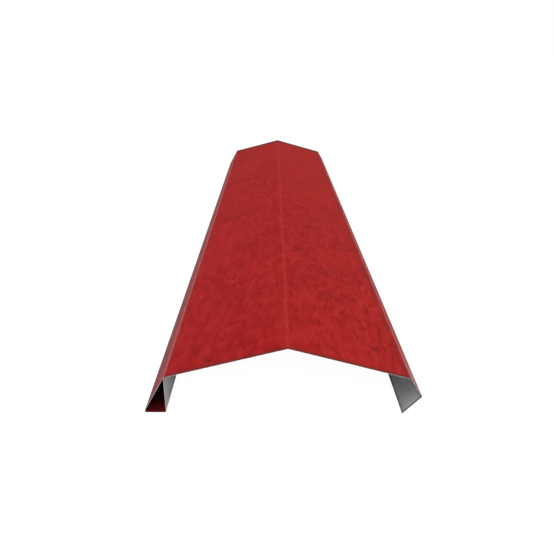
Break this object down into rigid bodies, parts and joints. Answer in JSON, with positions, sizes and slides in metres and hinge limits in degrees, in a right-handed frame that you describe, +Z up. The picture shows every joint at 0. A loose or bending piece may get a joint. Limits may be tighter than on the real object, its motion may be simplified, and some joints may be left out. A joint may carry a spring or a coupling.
{
  "type": "roof ridge cap",
  "caption": "Folded sheet-steel roof ridge cap: sloping wings meet at a ridge crease, with a closed hollow hem along one long edge and an open flange and return along the other.",
  "frame": {"origin": "on the floor, at mid-length, straight below the ridge fold", "axes": "+Z up through the ridge fold, +Y along the cap's length, +X towards the open return edge"},
  "size_m": [0.4249, 2, 0.1116],
  "materials": {
    "coated_steel": "matt red coil coating outside, grey backing coat inside"
  },
  "bodies": {
    "root": {"ridge_cap": "coated_steel"}
  },
  "joints": []
}
